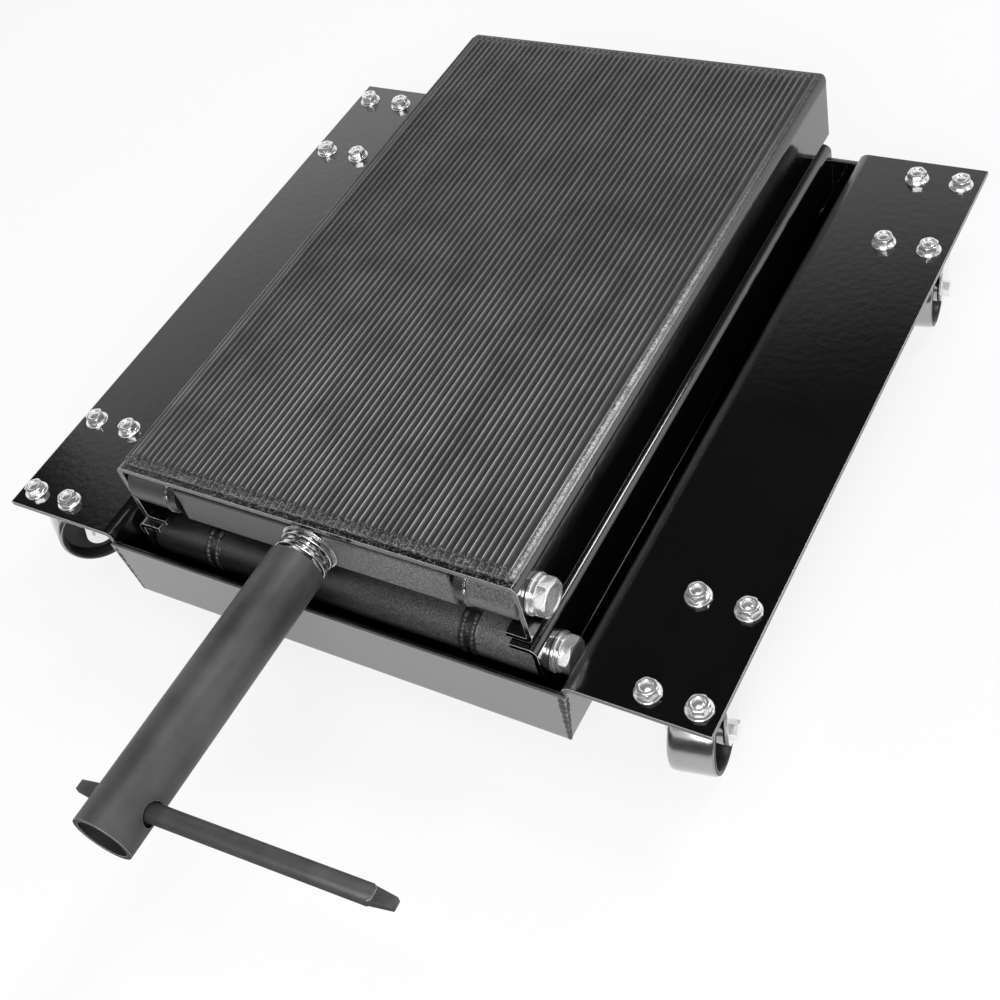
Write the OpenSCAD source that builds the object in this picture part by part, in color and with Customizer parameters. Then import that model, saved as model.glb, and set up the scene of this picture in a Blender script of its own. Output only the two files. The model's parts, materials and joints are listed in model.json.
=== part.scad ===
// Scissor jack for motorcycles, standing in a wheeled dolly.
// X runs across, Y from the handle at the front to the back, Z up from the floor.
// Two pairs of crossed arms carry a lipped platform over a lipped base channel.
// A lead screw draws the back nut forward, so the platform rises straight up.

/* [Platform] */
// Width over the platform's side flanges
platform_w = 250; // [236:1:270]
// Length of the platform
platform_len = 406; // [394:1:430]
// Thickness of the platform's folded sheet
platform_t = 3; // [2.5:0.25:3.5]
// Width of the lips folded in under the platform's flanges
platform_lip = 15.5; // [12:0.5:16]
// Centre line radius of the platform's folds
platform_bend = 3; // [2:0.5:4]
// Radius of the platform's back corners, seen from above
platform_corner = 5; // [3:0.5:8]

/* [Mat] */
// Thickness of the mat below its ribs
mat_t = 1.6; // [1:0.2:3]
// Height of the ribs
rib_h = 1.4; // [0.8:0.1:2]
// Distance from rib to rib
rib_pitch = 3.96; // [3.4:0.02:5]
// Width of a rib's flat top
rib_top = 1.3; // [0.8:0.1:1.8]
// Width of a rib at its foot
rib_foot = 2.6; // [2:0.1:3.2]
// Bare steel left around the mat
mat_inset = 3.5; // [2:0.5:6]
// Plain border of the mat around its ribs
mat_border = 5; // [3:0.5:8]

/* [Dolly] */
// Width over the two wings
dolly_w = 447; // [440:1:470]
// Length of the wings
dolly_len = 413.4; // [404:0.2:430]
// Distance that the wings stand out in front of the platform
dolly_lead = 13.7; // [10:0.1:20]
// Thickness of the pan's sheet
pan_t = 3; // [2.5:0.25:3.5]
// Depth of the well from the top of the wings to its outer bottom
well_depth = 52.6; // [51:0.2:56]
// Width of the well between the wall centre lines, at the wings
well_top_w = 293; // [288:1:300]
// Width of the well between the wall centre lines, at its bottom
well_floor_w = 281; // [276:1:286]
// Centre line radius of the pan's folds
pan_bend = 5; // [3:0.5:7]
// How far the end walls stop below the top of the wings
end_wall_drop = 7.6; // [5:0.2:10]
// How far the end walls stand out past the ends of the wings
end_wall_out = 1.8; // [1.6:0.1:4]

/* [Base channel] */
// Thickness of the base channel's sheet
base_t = 3; // [2.5:0.25:3.5]
// Height of the base channel over its flanges
base_h = 39; // [37:0.5:46]
// Width of the lips folded in at the top of the base channel
base_lip = 15.5; // [12:0.5:16]
// Running gap between the platform's flanges and the base's flanges
nest_gap = 0.25; // [0.2:0.05:0.8]
// Distance that the base channel stands out in front of the platform
base_lead = 4; // [2:0.5:6]
// Length of the base channel
base_len = 400; // [392:1:410]
// Height of the spacers between the pan and the base channel
spacer_h = 17; // [12:0.5:18]
// Radius of the spacers
spacer_r = 12; // [9:0.5:14]

/* [Scissor] */
// Distance between the end eyes of an arm
arm_len = 340; // [330:1:345]
// Thickness of an arm
arm_t = 6; // [5:0.5:7]
// Depth of an arm between its eyes
arm_depth = 25; // [20:0.5:28]
// Radius of eyes, cross tubes and track rollers
eye_r = 14.7; // [13:0.1:14.8]
// Distance from each channel's web to the pivots nearest it
pivot_inset = 15; // [15:0.5:18]
// Distance from the platform's front edge back to the front pivots
pivot_setback = 12.5; // [12:0.5:20]
// Height between the lower and upper pivots with the jack closed
closed_rise = 47; // [46:0.5:60]
// Centre plane of the inner arms, from the middle of the jack
inner_arm_x = 83; // [78:0.5:84]
// Gap between inner and outer arms, filled by a washer
arm_gap = 2; // [1.5:0.25:3]
// Radius of the pivot shafts
shaft_r = 11; // [9:0.5:11]
// Radius of the roller journals
journal_r = 8; // [6:0.5:9]
// Width of a track roller
roller_w = 20; // [16:0.5:22]
// Radial running clearance in bores
run_fit = 0.05; // [0.03:0.01:0.09]
// Radius of the centre bolts
centre_bolt_r = 7; // [5:0.5:8]

/* [Lead screw] */
// Radius of the lead screw
screw_r = 8.5; // [8:0.25:9]
// Distance from the back pivots to the end of the screw
screw_tail = 33; // [28:1:36]
// Length of the nut block along the screw
nut_len = 40; // [30:1:44]
// Half the width of the nut block
nut_half_w = 22; // [18:1:30]
// Outside radius of the thrust bearing
bearing_r = 15; // [14.5:0.5:18]
// Thickness of each bearing race
race_t = 2.8; // [2.5:0.1:4]
// Room for the balls between the races
ball_gap = 3.4; // [3:0.1:3.6]
// Radius of the bearing's balls
ball_r = 2.2; // [2:0.1:2.3]
// Thickness of each plain thrust washer
thrust_washer_t = 0.8; // [0.5:0.1:1.5]
// Size across flats of the screw's hexagon
screw_af = 21; // [18:0.5:21.5]
// Length of the screw's hexagon
screw_hex_len = 24; // [18:1:30]

/* [Screw beam] */
// Height of the front beam that the screw pulls on
beam_h = 24; // [22:0.5:27]
// Thickness of the front beam's bar
beam_t = 10; // [8:0.5:12]
// Depth of the ears on the beam's ends
ear_depth = 26; // [24:0.5:30]
// Thickness of the ears
ear_t = 5; // [4:0.5:8]

/* [Wrench] */
// Distance from the platform's front edge to the end of the wrench
handle_reach = 177; // [160:1:200]
// Outside radius of the wrench tube
wrench_r = 15.8; // [14.5:0.1:17]
// Wall of the wrench tube
wrench_wall = 2.4; // [2:0.1:3]
// Gap between the wrench and the bearing
wrench_gap = 2.5; // [1:0.5:5]
// Length of the hexagon socket in the wrench
socket_len = 22; // [16:1:26]
// Gap between the flats of the socket and the screw's hexagon
socket_gap = 0.3; // [0.2:0.05:0.6]
// Distance from the end of the wrench to the cross holes
bar_hole_back = 19.5; // [16:0.5:26]
// Radius of the cross holes
bar_hole_r = 6.5; // [6:0.1:7.5]
// Radius of the tommy bar
bar_r = 5; // [4:0.1:5.4]
// Length of the tommy bar
bar_len = 173; // [150:1:200]
// How far the tommy bar stands out on the left of the wrench's middle
bar_left = 28.5; // [20:0.5:40]
// Turn of the tommy bar in its loose holes, in degrees
bar_yaw = 2.8; // [0:0.1:3]
// Length of the flattened tang on each end of the bar
tang_len = 13; // [10:0.5:16]
// Width of the tangs
tang_w = 7.4; // [6:0.1:8]
// Thickness of the tangs
tang_t = 4.6; // [3.5:0.1:6]

/* [Pivot bolts] */
// Size across flats of the four pivot bolts
pivot_af = 18; // [17:0.5:22]
// Height of their heads
pivot_head_h = 6; // [5:0.1:9]
// Radius of their shanks
pivot_bolt_r = 6; // [5:0.5:7]
// Radius of the flat washers under them
pivot_washer_r = 11; // [10.5:0.5:15]
// Thickness of the flat washers
pivot_washer_t = 2; // [1.5:0.25:2.5]
// Thickness of the split lock washers
lock_washer_t = 2.5; // [2:0.25:3.5]

/* [Casters] */
// Height from the floor to the underside of the wings
caster_h = 64.6; // [63:0.2:70]
// Distance between the left and right casters' swivel axes
caster_span_x = 398.6; // [396:0.2:404]
// Distance between the front and back casters' swivel axes
caster_span_y = 326.4; // [318:0.2:340]
// Distance from the wings' front edge to the front swivel axes
caster_front = 41.3; // [38:0.1:50]
// Bolt spacing across a caster plate
plate_bolt_x = 26.3; // [25:0.1:30]
// Bolt spacing along a caster plate
plate_bolt_y = 59; // [56:0.5:64]
// Width of a caster plate
plate_w = 44; // [42:0.5:46]
// Length of a caster plate
plate_len = 77; // [74:0.5:80]
// Thickness of a caster plate
plate_t = 2; // [1.5:0.25:2.5]
// Radius of the wheels
wheel_r = 24; // [22:0.5:24.5]
// Width of the wheels
wheel_w = 24; // [20:0.5:26]
// Distance from the swivel axis to the wheel's axle
caster_trail = 14; // [12:0.5:18]
// Turn of the front left caster from trailing to the front, in degrees
turn_front_left = -33; // [-90:1:90]
// Turn of the front right caster
turn_front_right = 10.5; // [-90:0.5:90]
// Turn of the back left caster
turn_back_left = 24; // [-90:1:90]
// Turn of the back right caster
turn_back_right = 8; // [-90:1:90]
// Thickness of the fork's sheet
fork_t = 2; // [1.5:0.25:2.5]
// Gap between a fork leg and the wheel
fork_gap = 1; // [0.5:0.25:2]
// Radius of the wheel axles
axle_r = 3; // [2.5:0.25:4]
// Radius of the swivel rivet
kingpin_r = 4; // [3:0.5:5]

/* [Caster bolts] */
// Size across flats of the caster bolts
caster_bolt_af = 10; // [9:0.5:11]
// Radius of the flange under their heads
caster_flange_r = 7; // [6.5:0.1:7.5]
// Height of their heads over the wing
caster_head_h = 5.6; // [4.5:0.1:7]
// Radius of their shanks
caster_bolt_r = 3; // [2.5:0.25:3.2]

/* [Hidden] */
$fn = 64;
// Overlap that makes two shapes of one piece join
eps = 0.01;
// Flats that make up each fold of a sheet
fold_steps = 8;

// Colours of the finishes
BLACK_PAINT = [0.06, 0.06, 0.065];
SATIN_BLACK = [0.1, 0.1, 0.1];
RUBBER = [0.2, 0.2, 0.2];
ZINC = [0.8, 0.81, 0.82];
POLISHED = [0.75, 0.76, 0.78];
OXIDE = [0.27, 0.27, 0.28];
WHEEL_BLACK = [0.04, 0.04, 0.045];

// Heights, worked up from the floor
wing_under_z = caster_h;
wing_z = wing_under_z + pan_t;
pan_under_z = wing_z - well_depth;
pan_floor_z = pan_under_z + pan_t;
base_under_z = pan_floor_z + spacer_h;
base_web_z = base_under_z + base_t;
base_top_z = base_under_z + base_h;
low_z = base_web_z + pivot_inset;
high_z = low_z + closed_rise;
deck_under_z = high_z + pivot_inset;
deck_z = deck_under_z + platform_t;
deck_lip_z = base_top_z;
end_wall_z = wing_z - end_wall_drop;

// Places along Y: the origin lies midway between the wrench's end and the platform's back
front_y = (handle_reach - platform_len) / 2;
back_y = front_y + platform_len;
wing_front_y = front_y - dolly_lead;
wing_back_y = wing_front_y + dolly_len;
base_front_y = front_y - base_lead;
base_back_y = base_front_y + base_len;
pivot_y = front_y + pivot_setback;
closed_angle = asin(closed_rise / arm_len);
track_y = pivot_y + arm_len * cos(closed_angle);
centre_y = (pivot_y + track_y) / 2;
centre_z = (low_z + high_z) / 2;

// Places along X, from the middle outwards
inner_arm_in = inner_arm_x - arm_t / 2;
inner_arm_out = inner_arm_x + arm_t / 2;
outer_arm_in = inner_arm_out + arm_gap;
outer_arm_out = outer_arm_in + arm_t;
deck_half = platform_w / 2;
deck_inner_half = deck_half - platform_t;
base_inner_half = deck_half + nest_gap;
base_half = base_inner_half + base_t;
side_gap = 0.5;
roller_in = outer_arm_out + side_gap;
roller_out = roller_in + roller_w;
clip_gap = 0.4;
clip_t = 1.5;
clip_r = journal_r + 3;
clip_groove = 1;
journal_end = roller_out + clip_gap + clip_t + 1.5;
// Play and chamfer at the outer ends of the pivot tubes
end_play = 0.2;
tube_end_chamfer = 1;

// Screw, bearing and wrench along Y
beam_face_y = front_y;
stack_gap = 0.05;
thrust_washer_step = 0.5;
washer_stack = 2 * (thrust_washer_t + stack_gap);
race_rear_y = beam_face_y - washer_stack;
race_front_y = race_rear_y - race_t - ball_gap;
screw_shoulder_y = race_front_y - race_t;
wrench_back_y = screw_shoulder_y - wrench_gap;
wrench_front_y = front_y - handle_reach;
bar_y = wrench_front_y + bar_hole_back;
screw_end_y = track_y + screw_tail;
stop_len = 8;
stop_af = 24;
stop_inset = 4;

// Caster places: side along X, end along Y, and the turn of the swivel
CORNERS = ["front_left", "front_right", "back_left", "back_right"];
SIDES = [-1, 1, -1, 1];
ENDS = [0, 0, 1, 1];
TURNS = [turn_front_left, turn_front_right, turn_back_left, turn_back_right];
plate_under_z = wing_under_z - plate_t;
race_dish = 5;
swivel_gap = 0.3;
fork_race_t = 3;
fork_race_r = 18;
fork_race_z = plate_under_z - race_dish - swivel_gap;
fork_top_z = fork_race_z - fork_race_t;
fork_half = wheel_w / 2 + fork_gap;
fork_bend = 3;
fork_eye_r = 8;
hole_gap = 0.3;
// How far a bolt stands out past its nut
bolt_tail = 1.5;

// 2-D helpers for folded sheet

function unit(v) = v / norm(v);
function left_of(d) = [-d.y, d.x];
function reversed(v) = [for (i = [len(v) - 1:-1:0]) v[i]];

// Arc of the fold at point i of the line p, drawn off the centre line by off to its left
function fold_arc(p, i, r, off) =
  let (d0 = unit(p[i] - p[i - 1]), d1 = unit(p[i + 1] - p[i]), side = sign(cross(d0, d1)),
       turn = acos(d0 * d1), c = p[i] + unit(d1 - d0) * r / cos(turn / 2),
       spoke = p[i] - d0 * r * tan(turn / 2) - c, start = atan2(spoke.y, spoke.x))
  [for (k = [0:fold_steps]) let (a = start + side * turn * k / fold_steps)
    c + (r - side * off) * [cos(a), sin(a)]];

// One face of the folded sheet, from the first point to the last
function sheet_face(p, r, off) =
  let (last = len(p) - 1)
  concat([p[0] + off * left_of(unit(p[1] - p[0]))],
         [for (i = [1:last - 1]) each fold_arc(p, i, r, off)],
         [p[last] + off * left_of(unit(p[last] - p[last - 1]))]);

// Strip of sheet, t thick, whose centre line runs through the points p with folds of radius r
module bent_strip(p, t, r) polygon(concat(sheet_face(p, r, t / 2), reversed(sheet_face(p, r, -t / 2))));

// Rectangle from corner a to corner b with round corners
module round_rect(a, b, r) {
  translate([a.x, a.y + r]) square([b.x - a.x, b.y - a.y - 2 * r]);
  translate([a.x + r, a.y]) square([b.x - a.x - 2 * r, b.y - a.y]);
  for (x = [a.x + r, b.x - r], y = [a.y + r, b.y - r]) translate([x, y]) circle(r);
}

// Tangent point on a circle at c, seen from p; side is 1 or -1
function tangent_point(p, c, r, side) =
  let (d = norm(c - p), a = atan2(p.y - c.y, p.x - c.x) + side * acos(r / d))
  c + r * [cos(a), sin(a)];

// 3-D helpers: a profile drawn in X and Z runs along Y, one drawn in Y and Z runs along X

module along_y(y0, y1) translate([0, y1, 0]) rotate([90, 0, 0]) linear_extrude(y1 - y0) children();
module along_x(x0, x1) translate([x0, 0, 0]) rotate([90, 0, 90]) linear_extrude(x1 - x0) children();
module rod_x(x0, x1, y, z, r) translate([x0, y, z]) rotate([0, 90, 0]) cylinder(h = x1 - x0, r = r);
module rod_y(y0, y1, x, z, r) translate([x, y1, z]) rotate([90, 0, 0]) cylinder(h = y1 - y0, r = r);
module tube_x(x0, x1, y, z, r, bore) difference() {
  rod_x(x0, x1, y, z, r);
  rod_x(x0 - 1, x1 + 1, y, z, bore);
}
module ring(h, r, bore) difference() {
  cylinder(h = h, r = r);
  translate([0, 0, -1]) cylinder(h = h + 2, r = bore);
}
// Mirrors what it is given to the left or right side
module on_side(side) mirror([side < 0 ? 1 : 0, 0, 0]) children();
module both_sides() for (side = [-1, 1]) on_side(side) children();

// Fasteners, drawn with the bearing face of the head at Z = 0 and the shank going down

module hexagon(af, h) cylinder(h = h, r = af / 2 / cos(30), $fn = 6);
module chamfered_hexagon(af, h) {
  corner = af / 2 / cos(30);
  face = af / 2 * 0.95;
  chamfer = (corner - face) * tan(30);
  intersection() {
    hexagon(af, h);
    union() {
      cylinder(h = h - chamfer, r = corner + eps);
      translate([0, 0, h - chamfer]) cylinder(h = chamfer, r1 = corner + eps, r2 = face);
    }
  }
}
module hex_bolt(af, head, r, shank) {
  chamfered_hexagon(af, head);
  translate([0, 0, -shank]) cylinder(h = shank + eps, r = r);
}
module hex_nut(af, h, r) difference() {
  chamfered_hexagon(af, h);
  translate([0, 0, -1]) cylinder(h = h + 2, r = r);
}
module lock_washer(h, r, bore) difference() {
  split = 1.2;
  ring(h, r, bore);
  rotate([0, 0, 25]) translate([bore / 2, -split / 2, -1]) cube([r, split, h + 2]);
}
// Turns a fastener drawn along Z so that its head points to +X
module heading_x(x, y, z) translate([x, y, z]) rotate([0, 90, 0]) children();

// Dolly

// Centre lines of the pan's sheet: across the well, and along it with the end walls up to top
wing_mid_z = wing_z - pan_t / 2;
floor_mid_z = pan_under_z + pan_t / 2;
WELL_LINE = [
  [-well_top_w / 2, wing_mid_z], [-well_floor_w / 2, floor_mid_z],
  [well_floor_w / 2, floor_mid_z], [well_top_w / 2, wing_mid_z],
];
WING_TIPS = [[-dolly_w / 2, wing_mid_z], [dolly_w / 2, wing_mid_z]];
function end_line(top) =
  let (y0 = wing_front_y - end_wall_out + pan_t / 2, y1 = wing_back_y + end_wall_out - pan_t / 2)
  [[y0, top], [y0, floor_mid_z], [y1, floor_mid_z], [y1, top]];
function caster_x(i) = SIDES[i] * caster_span_x / 2;
function caster_y(i) = wing_front_y + caster_front + ENDS[i] * caster_span_y;
module at_casters() for (i = [0:3]) translate([caster_x(i), caster_y(i), 0]) children();
module at_plate_bolts()
  for (x = [-1, 1], y = [-1, 1]) translate([x * plate_bolt_x / 2, y * plate_bolt_y / 2, 0]) children();
base_bolt_x = 55;
base_bolt_in = 49;
base_bolt_out = 389;
base_bolt_r = 4;
module at_base_bolts()
  for (x = [-1, 1], y = [base_bolt_in, base_bolt_out]) translate([x * base_bolt_x, base_front_y + y, 0]) children();

module dolly_pan() color(BLACK_PAINT) difference() {
  union() {
    // Wings, side walls and floor, with the floor's ends rounded as the end walls' folds are
    intersection() {
      along_y(wing_front_y, wing_back_y)
        bent_strip([WING_TIPS[0], each WELL_LINE, WING_TIPS[1]], pan_t, pan_bend);
      along_x(-dolly_w, dolly_w) polygon(sheet_face(end_line(wing_z + 1), pan_bend, -pan_t / 2));
    }
    // End walls, out to the side walls' outer faces
    intersection() {
      along_x(-well_top_w, well_top_w) bent_strip(end_line(end_wall_z), pan_t, pan_bend);
      along_y(wing_front_y - dolly_lead, wing_back_y + dolly_lead)
        polygon(sheet_face(WELL_LINE, pan_bend, -pan_t / 2));
    }
  }
  at_casters() at_plate_bolts() translate([0, 0, wing_under_z - 1])
    cylinder(h = pan_t + 2, r = caster_bolt_r + hole_gap);
  at_base_bolts() translate([0, 0, pan_under_z - 1]) cylinder(h = pan_t + 2, r = base_bolt_r + hole_gap);
}

module base_channel() color(BLACK_PAINT) difference() {
  along_y(base_front_y, base_back_y) {
    x1 = base_half - base_t / 2;
    z0 = base_under_z + base_t / 2;
    z1 = base_top_z - base_t / 2;
    bent_strip([[base_lip - base_half, z1], [-x1, z1], [-x1, z0], [x1, z0], [x1, z1], [base_half - base_lip, z1]],
               base_t, platform_bend);
  }
  rod_x(-base_half - 1, base_half + 1, pivot_y, low_z, pivot_bolt_r + hole_gap);
  at_base_bolts() translate([0, 0, base_under_z - 1]) cylinder(h = base_t + 2, r = base_bolt_r + hole_gap);
}

module base_spacers() color(ZINC) at_base_bolts() translate([0, 0, pan_floor_z])
  ring(spacer_h, spacer_r, base_bolt_r + hole_gap);

base_nut_af = 13;
base_nut_h = 4.9;
base_washer_r = 8;
base_washer_t = 1.6;
module base_bolts() color(ZINC) at_base_bolts() {
  dome_r = 10;
  dome_h = 4.5;
  dome_ball_r = (dome_r * dome_r + dome_h * dome_h) / (2 * dome_h);
  intersection() {
    translate([0, 0, pan_under_z - dome_h]) cylinder(h = dome_h, r = dome_r);
    translate([0, 0, pan_under_z - dome_h + dome_ball_r]) sphere(dome_ball_r);
  }
  translate([0, 0, pan_under_z - eps])
    cylinder(h = base_web_z - pan_under_z + base_washer_t + base_nut_h + bolt_tail, r = base_bolt_r);
}
module base_nuts() color(ZINC) at_base_bolts() translate([0, 0, base_web_z]) {
  ring(base_washer_t, base_washer_r, base_bolt_r);
  translate([0, 0, base_washer_t]) hex_nut(base_nut_af, base_nut_h, base_bolt_r);
}

// Casters

caster_nut_h = 5;
caster_nut_flange = 1.2;
module caster_bolts() color(ZINC) at_casters() at_plate_bolts() translate([0, 0, wing_z]) difference() {
  flange_t = 1;
  slope_h = 0.7;
  slope_r = caster_bolt_af * 0.55;
  dish_r = caster_bolt_af * 0.33;
  dish_depth = 0.7;
  shank = pan_t + plate_t + caster_nut_h + bolt_tail;
  union() {
    cylinder(h = flange_t, r = caster_flange_r);
    translate([0, 0, flange_t]) cylinder(h = slope_h, r1 = caster_flange_r, r2 = slope_r);
    chamfered_hexagon(caster_bolt_af, caster_head_h);
    translate([0, 0, -shank]) cylinder(h = shank + eps, r = caster_bolt_r);
  }
  translate([0, 0, caster_head_h - dish_depth])
    cylinder(h = 2 * dish_depth, r1 = dish_r - dish_depth / 2, r2 = dish_r + dish_depth / 2);
}
module caster_nuts() color(ZINC) at_casters() at_plate_bolts() translate([0, 0, plate_under_z])
  rotate([180, 0, 0]) difference() {
    union() {
      cylinder(h = caster_nut_flange, r = caster_flange_r);
      chamfered_hexagon(caster_bolt_af, caster_nut_h);
    }
    translate([0, 0, -1]) cylinder(h = caster_nut_h + 2, r = caster_bolt_r);
  }

// Top plate with the fixed half of the swivel's ball race pressed out below it
module caster_plate(i) color(ZINC) translate([caster_x(i), caster_y(i), 0]) difference() {
  plate_corner_r = 5;
  race_foot_r = 15;
  race_foot_h = 2;
  race_top_r = 18;
  union() {
    translate([0, 0, plate_under_z]) linear_extrude(plate_t)
      round_rect([-plate_w / 2, -plate_len / 2], [plate_w / 2, plate_len / 2], plate_corner_r);
    translate([0, 0, plate_under_z - race_dish]) {
      cylinder(h = race_dish, r = race_foot_r);
      translate([0, 0, race_foot_h]) cylinder(h = race_dish - race_foot_h, r1 = race_foot_r, r2 = race_top_r);
    }
  }
  at_plate_bolts() translate([0, 0, plate_under_z - 1]) cylinder(h = plate_t + 2, r = caster_bolt_r + hole_gap);
  translate([0, 0, plate_under_z - race_dish - 1]) cylinder(h = race_dish + plate_t + 2, r = kingpin_r);
}
kingpin_head_r = 6.5;
kingpin_head_h = 2.4;
module caster_kingpins() color(ZINC) at_casters() {
  foot = fork_top_z - fork_t - swivel_gap;
  translate([0, 0, foot]) cylinder(h = wing_under_z - foot, r = kingpin_r);
  translate([0, 0, foot - kingpin_head_h]) cylinder(h = kingpin_head_h, r1 = kingpin_head_r - 1.5, r2 = kingpin_head_r);
}

// Moves a caster drawn with its wheel trailing towards the front to its place and swivel angle
module at_swivel(i) translate([caster_x(i), caster_y(i), 0]) rotate([0, 0, TURNS[i]]) children();

// Side outline of a fork leg, in Y and Z: wide at the crown, drawn in to the axle's eye
module fork_outline() {
  crown = fork_race_r;
  shoulder_drop = 12;
  shoulder_z = fork_top_z - shoulder_drop;
  eye = [-caster_trail, wheel_r];
  front = [-crown, shoulder_z];
  back = [crown, shoulder_z];
  translate([-crown, shoulder_z]) square([2 * crown, fork_top_z - shoulder_z]);
  polygon([front, tangent_point(front, eye, fork_eye_r, 1), eye,
           tangent_point(back, eye, fork_eye_r, -1), back]);
  translate(eye) circle(fork_eye_r);
}
module caster_fork(i) color(ZINC) at_swivel(i) difference() {
  x = fork_half + fork_t / 2;
  union() {
    intersection() {
      along_y(-caster_trail - fork_eye_r - 1, fork_race_r + 1)
        bent_strip([[-x, 0], [-x, fork_top_z - fork_t / 2], [x, fork_top_z - fork_t / 2], [x, 0]],
                   fork_t, fork_bend);
      along_x(-x - fork_t, x + fork_t) fork_outline();
    }
    translate([0, 0, fork_top_z - fork_t / 2])
      cylinder(h = fork_race_t + fork_t / 2, r1 = fork_race_r, r2 = fork_race_r - 1);
  }
  translate([0, 0, fork_top_z - fork_t - 1])
    cylinder(h = fork_t + fork_race_t + 2, r = kingpin_r + run_fit);
  rod_x(-x - fork_t, x + fork_t, -caster_trail, wheel_r, axle_r);
}

// Axle bolt through the fork, with its nut
axle_af = 9;
axle_head_h = 3.4;
axle_nut_h = 3.2;
axle_tail = 0.4;
module caster_axle(i) color(ZINC) at_swivel(i) {
  out = fork_half + fork_t;
  rod_x(-out - axle_nut_h - axle_tail, out + eps, -caster_trail, wheel_r, axle_r);
  heading_x(out, -caster_trail, wheel_r) chamfered_hexagon(axle_af, axle_head_h);
  mirror([1, 0, 0]) heading_x(out, -caster_trail, wheel_r) hex_nut(axle_af, axle_nut_h, axle_r);
}

// Turned profile of a wheel: rounded tread, rim, dished web and hub
module wheel_profile() {
  half = wheel_w / 2;
  round_r = 2;
  rim_t = 3.2;
  web_half = 3;
  hub_r = 8;
  intersection() {
    round_rect([-wheel_r, -half], [wheel_r, half], round_r);
    union() {
      translate([wheel_r - rim_t, -half]) square([rim_t, wheel_w]);
      translate([axle_r + run_fit, -web_half]) square([wheel_r - axle_r - run_fit - rim_t / 2, 2 * web_half]);
      translate([axle_r + run_fit, -half - fork_gap / 2])
        square([hub_r - axle_r - run_fit, wheel_w + fork_gap]);
    }
  }
}
module caster_wheel(i) color(WHEEL_BLACK) at_swivel(i)
  translate([0, -caster_trail, wheel_r]) rotate([0, 90, 0]) rotate_extrude() wheel_profile();

// Lower front pivot: a fixed shaft clamped between the base's flanges

lock_washer_step = 0.8;
module lower_pivot_shaft() color(ZINC)
  rod_x(-base_inner_half, base_inner_half, pivot_y, low_z, shaft_r);
module pivot_bolt_pair(half, z) both_sides()
  heading_x(half + pivot_washer_t + lock_washer_t, pivot_y, z)
    hex_bolt(pivot_af, pivot_head_h, pivot_bolt_r, pivot_washer_t + lock_washer_t + base_t);
module pivot_washer_pair(half, z) both_sides()
  heading_x(half, pivot_y, z) ring(pivot_washer_t, pivot_washer_r, pivot_bolt_r);
module lock_washer_pair(half, z) both_sides()
  heading_x(half + pivot_washer_t, pivot_y, z)
    lock_washer(lock_washer_t, pivot_washer_r - lock_washer_step, pivot_bolt_r);
module lower_pivot_bolts() color(ZINC) pivot_bolt_pair(base_half, low_z);
module lower_pivot_washers() color(ZINC) pivot_washer_pair(base_half, low_z);
module lower_lock_washers() color(ZINC) lock_washer_pair(base_half, low_z);

// Inner arms: welded to the lower cross tube in front, and round the nut's shaft at the back

// An arm drawn from its front eye at the origin back along Y, with a boss at the crossing
module arm(front_bore, mid_bore, back_bore) difference() {
  union() {
    for (y = [0, arm_len / 2, arm_len]) translate([y, 0]) circle(eye_r);
    translate([0, -arm_depth / 2]) square([arm_len, arm_depth]);
  }
  circle(front_bore);
  translate([arm_len / 2, 0]) circle(mid_bore);
  translate([arm_len, 0]) circle(back_bore);
}
module inner_arm() translate([0, pivot_y, low_z]) rotate([closed_angle, 0, 0])
  along_x(inner_arm_in, inner_arm_out) arm(shaft_r + run_fit, centre_bolt_r, shaft_r + run_fit);
module outer_arm() translate([0, pivot_y, high_z]) rotate([-closed_angle, 0, 0])
  along_x(outer_arm_in, outer_arm_out) arm(shaft_r + run_fit, centre_bolt_r + run_fit, journal_r);
module inner_arm_left() color(SATIN_BLACK) on_side(-1) inner_arm();
module inner_arm_right() color(SATIN_BLACK) on_side(1) inner_arm();
module outer_arm_left() color(SATIN_BLACK) on_side(-1) outer_arm();
module outer_arm_right() color(SATIN_BLACK) on_side(1) outer_arm();

// Length of pivot tube from x0 out to x1, with its outer rim chamfered to clear the channel's fold
module pivot_tube(x0, x1, z) difference() {
  union() {
    rod_x(x0, x1 - tube_end_chamfer, pivot_y, z, eye_r);
    heading_x(x1 - tube_end_chamfer, pivot_y, z)
      cylinder(h = tube_end_chamfer, r1 = eye_r, r2 = eye_r - tube_end_chamfer);
  }
  rod_x(x0 - 1, x1 + 1, pivot_y, z, shaft_r + run_fit);
}
// The tube is in three lengths, with an inner arm between each two
module lower_cross_tube() color(SATIN_BLACK) {
  tube_x(-inner_arm_in, inner_arm_in, pivot_y, low_z, eye_r, shaft_r + run_fit);
  both_sides() pivot_tube(inner_arm_out, base_inner_half - end_play, low_z);
}

centre_washer_t = 1.5;
centre_head_h = 7;
centre_nut_h = 9;
centre_af = 21;
centre_washer_r = 13;
module centre_bolts() color(ZINC) both_sides() heading_x(outer_arm_out + centre_washer_t, centre_y, centre_z)
  hex_bolt(centre_af, centre_head_h, centre_bolt_r,
           outer_arm_out - inner_arm_in + 2 * centre_washer_t + centre_nut_h + bolt_tail);
module centre_washers() color(ZINC) both_sides() {
  for (x = [inner_arm_in - centre_washer_t, outer_arm_out])
    heading_x(x, centre_y, centre_z) ring(centre_washer_t, centre_washer_r, centre_bolt_r);
  heading_x(inner_arm_out, centre_y, centre_z) ring(arm_gap, centre_washer_r, centre_bolt_r);
}
module centre_nuts() color(ZINC) both_sides()
  heading_x(inner_arm_in - centre_washer_t - centre_nut_h, centre_y, centre_z)
    hex_nut(centre_af, centre_nut_h, centre_bolt_r);

// Outer arms: short pivot tubes at the upper front, and the track axle at the lower back

module upper_pivot_tubes() color(SATIN_BLACK) both_sides()
  pivot_tube(outer_arm_out, deck_inner_half - end_play, high_z);
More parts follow.
